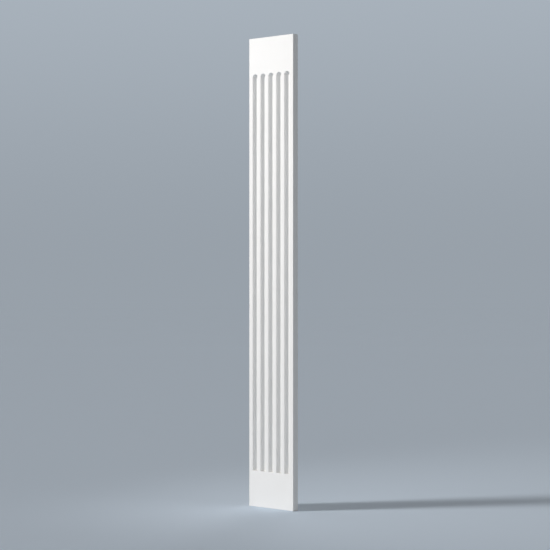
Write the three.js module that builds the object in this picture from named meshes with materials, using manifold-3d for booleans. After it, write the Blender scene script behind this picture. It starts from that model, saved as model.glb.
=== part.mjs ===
// A fluted pilaster shaft: one flat moulded board with a plain back.
// Its face carries a row of deep round-bottomed flutes that stop short of both ends.
// Each flute has a round head above and is cut off square at its foot.
// Millimetres, +Z up. The origin is the middle of the back face, and the face looks along -Y.

import * as THREE from 'three';
import { mergeVertices } from 'three/addons/utils/BufferGeometryUtils.js';
import Module from 'manifold-3d';

// The board
const HEIGHT = 2000;
const WIDTH = 250;
const THICKNESS = 30;
const EDGE_RADIUS = 1.5; // rounding of the arris all round the face

// The flutes
const FLUTE_WIDTH = 30;
const FLUTE_DEPTH = 14.5; // just under half the width, so that the rims keep a little draft
const FILLET_WIDTH = 15; // flat strip left between two flutes
const SIDE_STRIP_LEAST = 15; // least flat strip beside the outermost flutes
const PLAIN_END = 153; // unfluted face above and below the flutes

// How finely the round forms are faceted
const EDGE_STEPS = 2; // pairs of facets in the rounding of an arris
const FLUTE_SIDES = 32; // facets in the full circle that a flute's bottom is an arc of
const FLUTE_HEAD_STEPS = 4; // pairs of bands from a flute's straight run to the pole of its head
const CUT_SPARE = 10; // how far each blank runs past the face that trims it

// The surface: white factory primer
const PRIMER_COLOUR = 0xf2f2f0;
const PRIMER_ROUGHNESS = 0.55;

const wasm = await Module();
wasm.setup();

// A closed three.js geometry as a solid that can be joined and cut
function toSolid(geometry) {
  geometry.deleteAttribute('normal');
  geometry.deleteAttribute('uv');
  const merged = mergeVertices(geometry);
  const corners = merged.index.array;
  const triangles = [];
  for (let i = 0; i < corners.length; i += 3) {
    const [a, b, c] = corners.slice(i, i + 3);
    // The poles of a round end leave triangles with no area
    if (a !== b && b !== c && c !== a) {
      triangles.push(a, b, c);
    }
  }
  const mesh = new wasm.Mesh({
    numProp: 3,
    vertProperties: new Float32Array(merged.attributes.position.array),
    triVerts: new Uint32Array(triangles),
  });
  return new wasm.Manifold(mesh);
}

// A solid as a three.js geometry with flat facets
function toGeometry(solid) {
  const mesh = solid.getMesh();
  const geometry = new THREE.BufferGeometry();
  geometry.setAttribute('position', new THREE.BufferAttribute(mesh.vertProperties, 3));
  geometry.setIndex(new THREE.BufferAttribute(mesh.triVerts, 1));
  geometry.computeVertexNormals();
  return geometry;
}

// A slab as thick as the board, with its two front edges rounded.
// It is `across` wide along X and runs `along` far on Z, centred on both.
function roundedSlab(across, along) {
  const side = across / 2;
  const face = -THICKNESS;
  const section = new THREE.Shape();
  section.moveTo(side, 0);
  section.lineTo(-side, 0);
  section.lineTo(-side, face + EDGE_RADIUS);
  section.absarc(-side + EDGE_RADIUS, face + EDGE_RADIUS, EDGE_RADIUS, Math.PI, 1.5 * Math.PI);
  section.lineTo(side - EDGE_RADIUS, face);
  section.absarc(side - EDGE_RADIUS, face + EDGE_RADIUS, EDGE_RADIUS, 1.5 * Math.PI, 2 * Math.PI);
  section.closePath();
  const slab = new THREE.ExtrudeGeometry(section, {
    depth: along,
    bevelEnabled: false,
    curveSegments: EDGE_STEPS,
  });
  return slab.translate(0, 0, -along / 2);
}

// The plain board: an upright slab trimmed by one that lies across it,
// so that the arris is rounded at the sides and at both ends.
function board() {
  const upright = roundedSlab(WIDTH, HEIGHT + CUT_SPARE);
  const lying = roundedSlab(HEIGHT, WIDTH + CUT_SPARE);
  lying.rotateY(-Math.PI / 2);
  return toSolid(upright).intersect(toSolid(lying));
}

// The tool that sinks one flute: a round bar with a flat foot and a ball for its head,
// most of it in front of the face.
// The bar's radius is that of the circle with the flute's width as chord and its depth as rise.
function fluteCutter(x) {
  const half = FLUTE_WIDTH / 2;
  const radius = (half ** 2 + FLUTE_DEPTH ** 2) / (2 * FLUTE_DEPTH);
  const foot = PLAIN_END - HEIGHT / 2;
  const ballCentre = HEIGHT / 2 - PLAIN_END - half;
  const profile = new THREE.Path();
  profile.moveTo(0, foot);
  profile.lineTo(radius, foot);
  profile.lineTo(radius, ballCentre);
  profile.absarc(0, ballCentre, radius, 0, Math.PI / 2);
  const bar = new THREE.LatheGeometry(profile.getPoints(FLUTE_HEAD_STEPS), FLUTE_SIDES);
  bar.rotateX(Math.PI / 2);
  bar.translate(x, FLUTE_DEPTH - THICKNESS - radius, 0);
  return toSolid(bar);
}

// Centres of as many flutes as the face takes, evenly spaced about its middle
function fluteCentres() {
  const pitch = FLUTE_WIDTH + FILLET_WIDTH;
  const count = Math.floor((WIDTH - 2 * SIDE_STRIP_LEAST + FILLET_WIDTH) / pitch);
  const middle = (count - 1) / 2;
  return Array.from({ length: count }, (unused, i) => (i - middle) * pitch);
}

function pilasterShaft() {
  let solid = board();
  for (const x of fluteCentres()) {
    solid = solid.subtract(fluteCutter(x));
  }
  const primer = new THREE.MeshStandardMaterial({
    color: PRIMER_COLOUR,
    roughness: PRIMER_ROUGHNESS,
    metalness: 0,
    flatShading: true,
  });
  const mesh = new THREE.Mesh(toGeometry(solid), primer);
  mesh.name = 'pilaster_shaft';
  return mesh;
}

const pilaster = new THREE.Group();
pilaster.add(pilasterShaft());

export default pilaster;
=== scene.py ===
import math

import bmesh
import bpy
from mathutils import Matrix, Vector


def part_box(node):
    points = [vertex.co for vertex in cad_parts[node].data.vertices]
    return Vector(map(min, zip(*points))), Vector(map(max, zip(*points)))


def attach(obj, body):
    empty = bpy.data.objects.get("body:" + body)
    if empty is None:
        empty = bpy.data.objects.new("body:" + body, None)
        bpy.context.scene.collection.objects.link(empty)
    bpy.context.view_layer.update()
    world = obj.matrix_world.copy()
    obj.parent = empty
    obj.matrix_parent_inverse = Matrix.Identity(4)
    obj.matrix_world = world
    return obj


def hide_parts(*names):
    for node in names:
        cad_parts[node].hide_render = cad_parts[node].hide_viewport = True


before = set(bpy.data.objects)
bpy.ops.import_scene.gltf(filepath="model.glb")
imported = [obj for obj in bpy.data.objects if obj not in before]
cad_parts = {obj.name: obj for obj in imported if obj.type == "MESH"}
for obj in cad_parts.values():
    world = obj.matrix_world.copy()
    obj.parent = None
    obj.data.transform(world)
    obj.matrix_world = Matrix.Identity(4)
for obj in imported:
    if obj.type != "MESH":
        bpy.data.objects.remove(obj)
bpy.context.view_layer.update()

SHAFT_LOW, SHAFT_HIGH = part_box("pilaster_shaft")
HALF_WIDTH = SHAFT_HIGH.x
HALF_HEIGHT = SHAFT_HIGH.z
FACE_Y = SHAFT_LOW.y        # the fluted face; the back lies in the plane y = 0

# The flutes, in metres
FLUTE_COUNT = 5
FLUTE_WIDTH = 0.030
FLUTE_DEPTH = 0.0145
FLUTE_PITCH = 0.045
PLAIN_END = 0.153           # unfluted face above and below the flutes

# Softened edges of the moulding, in metres
FACE_ARRIS = 0.0015         # all round the face
RIM_ARRIS = 0.0006          # where a flute breaks the face
FOOT_FILLET = 0.0012        # where the flat end of a flute's foot meets its round bottom
BACK_ARRIS = 0.0006         # all round the back
EDGE_STRIP = 0.0004         # flat strip beside a rounding, so that smooth shading ends there

# How finely the forms are divided
HEAD_STEPS = 32             # round the half circle of a flute's head; a multiple of 4
STRAIGHT_STEPS = 28         # up a flute's straight run
BOTTOM_STEPS = 20           # from the middle of a flute's bottom to its rim
FILLET_STEPS = 4            # round the fillet at a flute's foot; an even number
ARRIS_STEPS = 4             # across a softened edge
PLAIN_STEPS = 5             # up the unfluted face at one end
STRIP_STEPS = 2             # across the plain strip beside the outermost flutes
SIDE_STEPS = 4              # through the thickness
WELD_DISTANCE = 1e-6
SHARP_ANGLE = math.radians(30)           # a fold sharper than this is shaded as a crisp edge

# The view, read off the photograph's own 550 x 550 pixels
PHOTO_SIZE = 550
EYE_LEVEL_Y = 272.5         # half way up the shaft
NEAR_EDGE_X = 293.16        # the upright edge between the face and its right-hand side
NEAR_EDGE_HEIGHT = 477.7
VIEW_TURN = math.radians(41.7)
LENS = 108.7                # mm
SENSOR = 36                 # mm

# The white primer, and the planed back; colours and roughness as their lowest and highest value
PAINT_COLOURS = ((0.886, 0.884, 0.874), (0.908, 0.906, 0.896))
PAINT_ROUGHNESS = (0.47, 0.58)
PLANED_COLOURS = ((0.80, 0.785, 0.745), (0.845, 0.835, 0.80))
PLANED_ROUGHNESS = (0.7, 0.8)
PRIMER_SHINE = 0.35
BACK_DEPTH = (0.0006, 0.0001)   # how far from the back's plane paint gives way to planed foam, in metres
TONE_SCALE = 5              # about how many times a metre each of these repeats
GLOSS_SCALE = 140
WAVE_SCALE = 22
SKIN_SCALE = 650
PLANING_SCALE = 260
PLANING_STRETCH = 0.02      # a planing mark repeats so much less often along the shaft
WAVE_RELIEF = 0.00035       # in metres
SKIN_RELIEF = 0.00006
NOISE_SPREAD = (0.3, 0.7)   # where nearly all values of a noise texture lie

# The lights, the floor and the backdrop
LIGHT_COLOUR = (1.0, 0.975, 0.955)
SOFT_LIGHT = 0.23           # from all round
SUNS = {                    # where each comes from, its strength in W/m2 and its spread in degrees
    "key": ((-0.75, -1.0, 0.42), 1.6, 12),
    "fill": ((0.6, -1.0, 0.35), 0.2, 50),
    "back_fill": ((-0.6, 1.0, 0.25), 0.6, 25),
}
SPOT_PLACE = (-1.7, -2.2, 1.6)
SPOT_AIM = (0, 0, 0.3)
SPOT_POWER = 137            # W
SPOT_CONE = math.radians(60)
SPOT_RADIUS = 0.3
BACKDROP_LOW = (0.315, 0.355, 0.400)     # as bright as the floor far off
BACKDROP_HIGH = (0.405, 0.458, 0.516)
BACKDROP_RISE = math.radians(14)         # above the horizon, where it is brightest
BACKDROP_RADIUS = 60
BACKDROP_SEGMENTS = 128
FLOOR_FADE = (15, 45)       # from the first to the second distance the floor turns into a glow
FLOOR_GAP = 0.0005          # between the shaft's foot and the floor


def spread(start, end, steps):
    """Evenly spaced values from start to end, both of them included."""
    return [start + (end - start) * i / steps for i in range(steps + 1)]


# The mesh of the shaft. Every patch is made of quads with corners of their own,
# laid on shared grid lines, and at the end all corners that meet are welded.

HALF_PITCH = FLUTE_PITCH / 2
HALF_FLUTE = FLUTE_WIDTH / 2
RIM_CIRCLE = (HALF_FLUTE ** 2 + FLUTE_DEPTH ** 2) / (2 * FLUTE_DEPTH)
RIM_ANGLE = math.asin(HALF_FLUTE / RIM_CIRCLE)
BOTTOM_RADIUS = RIM_CIRCLE - RIM_ARRIS
RIM_REACH = BOTTOM_RADIUS * math.sin(RIM_ANGLE)       # where the rim starts to round over
UPRIGHT = math.pi / 2
HEAD_CENTRE = HALF_HEIGHT - PLAIN_END - HALF_FLUTE    # the middle of a flute's round head
FOOT = PLAIN_END - HALF_HEIGHT
FOOT_END = FOOT + HALF_FLUTE - RIM_REACH              # behind the rim's rounding
FILLET_TOP = FOOT_END + FOOT_FILLET
HALF_FLUTED_WIDTH = FLUTE_COUNT * HALF_PITCH
TILE_HEAD = HEAD_CENTRE + HALF_PITCH
TILE_FOOT = FOOT + HALF_FLUTE - HALF_PITCH
CORNER_STEPS = FILLET_STEPS // 2                      # from each end of a foot's corner to its middle


def flute_centres():
    return [(i - (FLUTE_COUNT - 1) / 2) * FLUTE_PITCH for i in range(FLUTE_COUNT)]


def flute_profile():
    """(reach, depth, lean) from the middle of a flute's bottom out over its softened rim.
    The lean is the angle between the flute's surface and the board's face."""
    profile = []
    for angle in spread(0, RIM_ANGLE, BOTTOM_STEPS):
        depth = FLUTE_DEPTH - BOTTOM_RADIUS * (1 - math.cos(angle))
        profile.append((BOTTOM_RADIUS * math.sin(angle), depth, angle))
    for angle in spread(RIM_ANGLE, 0, ARRIS_STEPS)[1:]:
        depth = RIM_ARRIS * (1 - math.cos(angle))
        profile.append((HALF_FLUTE - RIM_ARRIS * math.sin(angle), depth, UPRIGHT))
    profile.append((HALF_FLUTE + EDGE_STRIP, 0, UPRIGHT))
    return profile


def head_angles():
    return spread(0, math.pi, HEAD_STEPS)[1:-1]


def run_heights():
    """The heights of the level grid lines along a flute's straight run."""
    return spread(FILLET_TOP + EDGE_STRIP, HEAD_CENTRE, STRAIGHT_STEPS)


def corner_heights():
    """The heights of the level grid lines beside the lower corners of the tiles."""
    return spread(TILE_FOOT, FILLET_TOP, CORNER_STEPS)


def tile_edge():
    """Where the grid lines meet the head and the foot of a flute's tile, measured from its middle."""
    corner = math.pi / 4
    return [HALF_PITCH * math.tan(angle) for angle in spread(-corner, corner, HEAD_STEPS // 2)]


def foot_corner(reach, depth, lean):
    """(x, depth, z) from a foot's flat end round the fillet to the flute's right-hand side."""
    radius = FOOT_FILLET + max(0, reach - RIM_REACH)
    corner = []
    for turn in spread(math.pi / 2, 0, FILLET_STEPS):
        inward = radius * (1 - math.cos(turn))
        height = FILLET_TOP - radius * math.sin(turn)
        corner.append((reach - inward * math.sin(lean), depth - inward * math.cos(lean), height))
    return corner


def closed_ring(centre, right, head, foot):
    """One ring, anticlockwise as the face is seen, from its right-hand side, head and foot."""
    left = [(-x, depth, z) for x, depth, z in reversed(right)]
    return [(centre + x, FACE_Y + depth, z) for x, depth, z in right + head + left + foot]


def flute_ring(centre, reach, depth, lean):
    right = foot_corner(reach, depth, lean) + [(reach, depth, z) for z in run_heights()]
    head = [(reach * math.cos(angle), depth, HEAD_CENTRE + reach * math.sin(angle))
            for angle in head_angles()]
    edge = tile_edge()[CORNER_STEPS:-CORNER_STEPS]
    foot_end, foot_depth, foot_height = right[0]
    foot = [(foot_end * x / edge[-1], foot_depth, foot_height) for x in edge[1:-1]]
    return closed_ring(centre, right, head, foot)


def tile_ring(centre):
    """The edge of the oblong tile of flat face that a flute lies in."""
    edge = tile_edge()
    right = [(x, 0, TILE_FOOT) for x in edge[-1 - CORNER_STEPS:]]
    right += [(HALF_PITCH, 0, z) for z in corner_heights()[1:] + run_heights()]
    head = []
    for angle in head_angles():
        reach = HALF_PITCH / max(abs(math.cos(angle)), math.sin(angle))
        head.append((reach * math.cos(angle), 0, HEAD_CENTRE + reach * math.sin(angle)))
    foot = [(x, 0, TILE_FOOT) for x in edge[1 + CORNER_STEPS:-1 - CORNER_STEPS]]
    return closed_ring(centre, right, head, foot)


def flute_rings(centre):
    """Closed rings from a flute's middle line out to the edge of its tile."""
    return [flute_ring(centre, *point) for point in flute_profile()] + [tile_ring(centre)]


def grid_columns():
    """The upright grid lines of the flat face, from its left to its right softened edge."""
    edge = HALF_WIDTH - FACE_ARRIS
    strip = spread(HALF_FLUTED_WIDTH, edge - EDGE_STRIP, STRIP_STEPS) + [edge]
    columns = [-x for x in reversed(strip)]
    for centre in flute_centres():
        columns += [centre + x for x in tile_edge()][1:]
    return columns + strip[1:]


def grid_rows():
    """The level grid lines of the flat face, from its lower to its upper softened edge."""
    edge = HALF_HEIGHT - FACE_ARRIS
    below = [-edge] + spread(EDGE_STRIP - edge, TILE_FOOT, PLAIN_STEPS)
    beside_head = [HEAD_CENTRE + z for z in tile_edge() if z > WELD_DISTANCE]
    above = spread(TILE_HEAD, edge - EDGE_STRIP, PLAIN_STEPS)[1:] + [edge]
    return below + corner_heights()[1:] + run_heights() + beside_head + above


def moved_out(lines, outset):
    """The same grid lines with the first and the last moved out."""
    return [lines[0] - outset] + lines[1:-1] + [lines[-1] + outset]


def edge_profile():
    """(outset, y) over the face's softened edge, through the thickness and round to the back."""
    profile = []
    for angle in spread(0, math.pi / 2, ARRIS_STEPS):
        profile.append((FACE_ARRIS * math.sin(angle), FACE_Y + FACE_ARRIS * (1 - math.cos(angle))))
    for y in spread(FACE_Y + FACE_ARRIS + EDGE_STRIP, -BACK_ARRIS - EDGE_STRIP, SIDE_STEPS):
        profile.append((FACE_ARRIS, y))
    for angle in spread(0, math.pi / 2, ARRIS_STEPS):
        outset = FACE_ARRIS - BACK_ARRIS * (1 - math.cos(angle))
        profile.append((outset, BACK_ARRIS * (math.sin(angle) - 1)))
    return profile


def edge_rings(columns, rows):
    """Closed rings from the edge of the flat face round to the edge of the back."""
    rings = []
    for outset, y in edge_profile():
        across = moved_out(columns, outset)
        along = moved_out(rows, outset)
        right = [(across[-1], y, z) for z in along]
        top = [(x, y, along[-1]) for x in reversed(across[1:-1])]
        left = [(across[0], y, z) for z in reversed(along)]
        bottom = [(x, y, along[0]) for x in across[1:-1]]
        rings.append(right + top + left + bottom)
    return rings


def add_quad(mesh, corners):
    mesh.faces.new([mesh.verts.new(corner) for corner in corners])


def add_rings(mesh, rings):
    """Quads between each closed ring and the next."""
    for inner, outer in zip(rings, rings[1:]):
        for i in range(len(inner)):
            add_quad(mesh, (inner[i - 1], outer[i - 1], outer[i], inner[i]))


def add_plain_face(mesh, columns, rows):
    """The flat face round the tiles of the flutes."""
    for x0, x1 in zip(columns, columns[1:]):
        for z0, z1 in zip(rows, rows[1:]):
            beside = abs(x0 + x1) / 2 > HALF_FLUTED_WIDTH
            beyond = not TILE_FOOT < (z0 + z1) / 2 < TILE_HEAD
            if beside or beyond:
                add_quad(mesh, ((x0, FACE_Y, z0), (x1, FACE_Y, z0), (x1, FACE_Y, z1), (x0, FACE_Y, z1)))


def add_back(mesh, columns, rows):
    """The flat back."""
    across = moved_out(columns, FACE_ARRIS - BACK_ARRIS)
    along = moved_out(rows, FACE_ARRIS - BACK_ARRIS)
    for x0, x1 in zip(across, across[1:]):
        for z0, z1 in zip(along, along[1:]):
            add_quad(mesh, ((x0, 0, z0), (x0, 0, z1), (x1, 0, z1), (x1, 0, z0)))


def make_shaft():
    mesh = bmesh.new()
    columns = grid_columns()
    rows = grid_rows()
    for centre in flute_centres():
        add_rings(mesh, flute_rings(centre))
    add_plain_face(mesh, columns, rows)
    add_rings(mesh, edge_rings(columns, rows))
    add_back(mesh, columns, rows)
    bmesh.ops.remove_doubles(mesh, verts=mesh.verts, dist=WELD_DISTANCE)
    for face in mesh.faces:
        face.smooth = True
    for edge in mesh.edges:
        edge.smooth = edge.calc_face_angle() < SHARP_ANGLE
    return add_object("pilaster_shaft_fine", mesh, primer_material())


# Materials

def add_node(tree, kind, **inputs):
    """A new node, with values for its input sockets."""
    node = tree.nodes.new(kind)
    for name, value in inputs.items():
        node.inputs[name.replace("_", " ")].default_value = value
    return node


def set_colour(tree, socket, colour):
    """Gives a colour socket a colour, or links it to the socket that makes the colour."""
    if isinstance(colour, tuple):
        socket.default_value = (*colour, 1)
    else:
        tree.links.new(colour, socket)


def noise(tree, vector, scale, detail):
    """A noise texture that repeats about scale times a metre."""
    texture = add_node(tree, "ShaderNodeTexNoise", Scale=scale, Detail=detail)
    tree.links.new(vector, texture.inputs["Vector"])
    return texture.outputs["Fac"]


def ranged(tree, value, low, high):
    """A noise value drawn out to the range from low to high."""
    least, most = NOISE_SPREAD
    node = add_node(tree, "ShaderNodeMapRange", From_Min=least, From_Max=most, To_Min=low, To_Max=high)
    tree.links.new(value, node.inputs["Value"])
    return node.outputs["Result"]


def mixed(tree, factor, first, second):
    """A colour that goes from first to second with the factor; each is a colour or a socket."""
    node = tree.nodes.new("ShaderNodeMixRGB")
    tree.links.new(factor, node.inputs["Fac"])
    set_colour(tree, node.inputs["Color1"], first)
    set_colour(tree, node.inputs["Color2"], second)
    return node.outputs["Color"]


def bump(tree, height, distance, normal=None):
    """Relief of that distance, in metres, on top of any that the normal already has."""
    node = add_node(tree, "ShaderNodeBump", Distance=distance)
    tree.links.new(height, node.inputs["Height"])
    if normal:
        tree.links.new(normal, node.inputs["Normal"])
    return node.outputs["Normal"]


def back_share(tree, place):
    """0 on the painted surfaces and 1 on the back."""
    split = tree.nodes.new("ShaderNodeSeparateXYZ")
    tree.links.new(place, split.inputs["Vector"])
    start, end = BACK_DEPTH
    share = add_node(tree, "ShaderNodeMapRange", From_Min=-start, From_Max=-end)
    tree.links.new(split.outputs["Y"], share.inputs["Value"])
    return share.outputs["Result"]


def planing_marks(tree, place):
    """A noise texture drawn out along the shaft."""
    stretch = add_node(tree, "ShaderNodeMapping", Scale=(1, 1, PLANING_STRETCH))
    tree.links.new(place, stretch.inputs["Vector"])
    return noise(tree, stretch.outputs["Vector"], scale=PLANING_SCALE, detail=4)


def primer_material():
    """Sprayed white primer: satin, faintly uneven in tone and gloss, with the fine pebbled skin
    of spray paint. The back is left as planed: plainer, duller and with faint marks along it."""
    material = bpy.data.materials.new("white_primer")
    material.use_nodes = True
    tree = material.node_tree
    shader = tree.nodes["Principled BSDF"]
    shader.inputs["Specular IOR Level"].default_value = PRIMER_SHINE
    place = tree.nodes.new("ShaderNodeTexCoord").outputs["Object"]
    back = back_share(tree, place)
    planing = planing_marks(tree, place)

    tone = noise(tree, place, scale=TONE_SCALE, detail=3)
    painted = mixed(tree, ranged(tree, tone, 0, 1), *PAINT_COLOURS)
    planed = mixed(tree, ranged(tree, planing, 0, 1), *PLANED_COLOURS)
    tree.links.new(mixed(tree, back, painted, planed), shader.inputs["Base Color"])

    gloss = noise(tree, place, scale=GLOSS_SCALE, detail=2)
    painted = ranged(tree, gloss, *PAINT_ROUGHNESS)
    planed = ranged(tree, planing, *PLANED_ROUGHNESS)
    tree.links.new(mixed(tree, back, painted, planed), shader.inputs["Roughness"])

    wave = noise(tree, place, scale=WAVE_SCALE, detail=1)
    pebbles = noise(tree, place, scale=SKIN_SCALE, detail=2)
    skin = mixed(tree, back, pebbles, planing)
    waved = bump(tree, wave, distance=WAVE_RELIEF)
    tree.links.new(bump(tree, skin, distance=SKIN_RELIEF, normal=waved), shader.inputs["Normal"])
    return material


def glow(tree, colour):
    """A plain glow; the colour is a colour or a socket."""
    node = tree.nodes.new("ShaderNodeEmission")
    set_colour(tree, node.inputs["Color"], colour)
    return node.outputs["Emission"]


def floor_material():
    """Matt paint that, lit as it is here, looks as bright far off as the foot of the backdrop.
    It turns into the same glow before the floor ends, so that no seam shows."""
    sunlight = 0
    for coming_from, strength, spread_angle in SUNS.values():
        sunlight += strength * Vector(coming_from).normalized().z / math.pi
    light = [(SOFT_LIGHT + sunlight) * share for share in LIGHT_COLOUR]
    material = bpy.data.materials.new("studio_floor")
    material.use_nodes = True
    tree = material.node_tree
    shader = tree.nodes["Principled BSDF"]
    colour = [seen / lit for seen, lit in zip(BACKDROP_LOW, light)]
    shader.inputs["Base Color"].default_value = (*colour, 1)
    shader.inputs["Roughness"].default_value = 1
    shader.inputs["Specular IOR Level"].default_value = 0

    place = tree.nodes.new("ShaderNodeTexCoord").outputs["Object"]
    distance = tree.nodes.new("ShaderNodeVectorMath")
    distance.operation = "LENGTH"
    tree.links.new(place, distance.inputs[0])
    near, far = FLOOR_FADE
    fade = add_node(tree, "ShaderNodeMapRange", From_Min=near, From_Max=far)
    tree.links.new(distance.outputs["Value"], fade.inputs["Value"])
    blend = tree.nodes.new("ShaderNodeMixShader")
    tree.links.new(fade.outputs["Result"], blend.inputs["Fac"])
    tree.links.new(shader.outputs["BSDF"], blend.inputs[1])
    tree.links.new(glow(tree, BACKDROP_LOW), blend.inputs[2])
    tree.links.new(blend.outputs["Shader"], tree.nodes["Material Output"].inputs["Surface"])
    return material


def backdrop_material():
    """A plain glow that is a little brighter above than at the horizon."""
    material = bpy.data.materials.new("studio_backdrop")
    material.use_nodes = True
    tree = material.node_tree
    tree.nodes.remove(tree.nodes["Principled BSDF"])
    place = tree.nodes.new("ShaderNodeTexCoord")
    split = tree.nodes.new("ShaderNodeSeparateXYZ")
    tree.links.new(place.outputs["Object"], split.inputs["Vector"])
    top = BACKDROP_RADIUS * math.sin(BACKDROP_RISE)
    height = add_node(tree, "ShaderNodeMapRange", From_Max=top)
    height.interpolation_type = "SMOOTHSTEP"
    tree.links.new(split.outputs["Z"], height.inputs["Value"])
    colour = mixed(tree, height.outputs["Result"], BACKDROP_LOW, BACKDROP_HIGH)
    tree.links.new(glow(tree, colour), tree.nodes["Material Output"].inputs["Surface"])
    return material


# The studio and its camera

def add_object(name, mesh, material):
    data = bpy.data.meshes.new(name)
    mesh.to_mesh(data)
    mesh.free()
    data.materials.append(material)
    thing = bpy.data.objects.new(name, data)
    bpy.context.scene.collection.objects.link(thing)
    return thing


def make_floor():
    mesh = bmesh.new()
    bmesh.ops.create_circle(mesh, cap_ends=True, segments=BACKDROP_SEGMENTS, radius=BACKDROP_RADIUS)
    floor = add_object("floor", mesh, floor_material())
    floor.location.z = -HALF_HEIGHT - FLOOR_GAP
    return floor


def make_backdrop():
    """A far round backdrop that only shows behind things: it lights nothing and shades nothing."""
    mesh = bmesh.new()
    around = BACKDROP_SEGMENTS
    bmesh.ops.create_uvsphere(mesh, u_segments=around, v_segments=around // 2, radius=BACKDROP_RADIUS)
    backdrop = add_object("backdrop", mesh, backdrop_material())
    backdrop.visible_diffuse = False
    backdrop.visible_glossy = False
    backdrop.visible_shadow = False
    return backdrop


def aim(thing, direction):
    """Turns a light so that it shines along the direction."""
    thing.rotation_euler = Vector(direction).to_track_quat("-Z", "Y").to_euler()


def add_light(name, kind, energy):
    light = bpy.data.lights.new(name, kind)
    light.energy = energy
    light.color = LIGHT_COLOUR
    holder = bpy.data.objects.new(name, light)
    bpy.context.scene.collection.objects.link(holder)
    return holder


def add_sun(name, coming_from, strength, spread_angle):
    sun = add_light(name, "SUN", strength)
    sun.data.angle = math.radians(spread_angle)
    aim(sun, -Vector(coming_from))


def add_spot():
    """A soft-edged spot on the upper part of the shaft, which fades towards its foot."""
    spot = add_light("upper_spot", "SPOT", SPOT_POWER)
    spot.data.spot_size = SPOT_CONE
    spot.data.spot_blend = 1
    spot.data.shadow_soft_size = SPOT_RADIUS
    spot.location = SPOT_PLACE
    aim(spot, Vector(SPOT_AIM) - Vector(SPOT_PLACE))
    spot.visible_camera = False


def light_studio():
    world = bpy.data.worlds.new("studio")
    world.use_nodes = True
    background = world.node_tree.nodes["Background"]
    background.inputs["Color"].default_value = (*LIGHT_COLOUR, 1)
    background.inputs["Strength"].default_value = SOFT_LIGHT
    bpy.context.scene.world = world
    bpy.context.scene.view_settings.view_transform = "Standard"
    for name, (coming_from, strength, spread_angle) in SUNS.items():
        add_sun(name, coming_from, strength, spread_angle)
    add_spot()


def make_camera():
    """A level camera to the right of the shaft that looks left at it, placed so that the
    shaft's near edge stands where the photograph has it, and as tall."""
    focal = LENS / SENSOR * PHOTO_SIZE
    distance = focal * 2 * HALF_HEIGHT / NEAR_EDGE_HEIGHT
    aside = (NEAR_EDGE_X - PHOTO_SIZE / 2) * distance / focal
    right = Vector((math.cos(VIEW_TURN), math.sin(VIEW_TURN), 0))
    ahead = Vector((-math.sin(VIEW_TURN), math.cos(VIEW_TURN), 0))
    near_edge = Vector((HALF_WIDTH, FACE_Y, 0))
    camera = bpy.data.objects.new("camera", bpy.data.cameras.new("camera"))
    camera.data.lens = LENS
    camera.data.sensor_width = SENSOR
    camera.data.shift_y = (EYE_LEVEL_Y - PHOTO_SIZE / 2) / PHOTO_SIZE
    camera.location = near_edge - right * aside - ahead * distance
    camera.rotation_euler = (math.pi / 2, 0, VIEW_TURN)
    bpy.context.scene.collection.objects.link(camera)
    bpy.context.scene.camera = camera


make_camera()
light_studio()
make_floor()
make_backdrop()

shaft = make_shaft()
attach(shaft, "root")
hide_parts("pilaster_shaft")
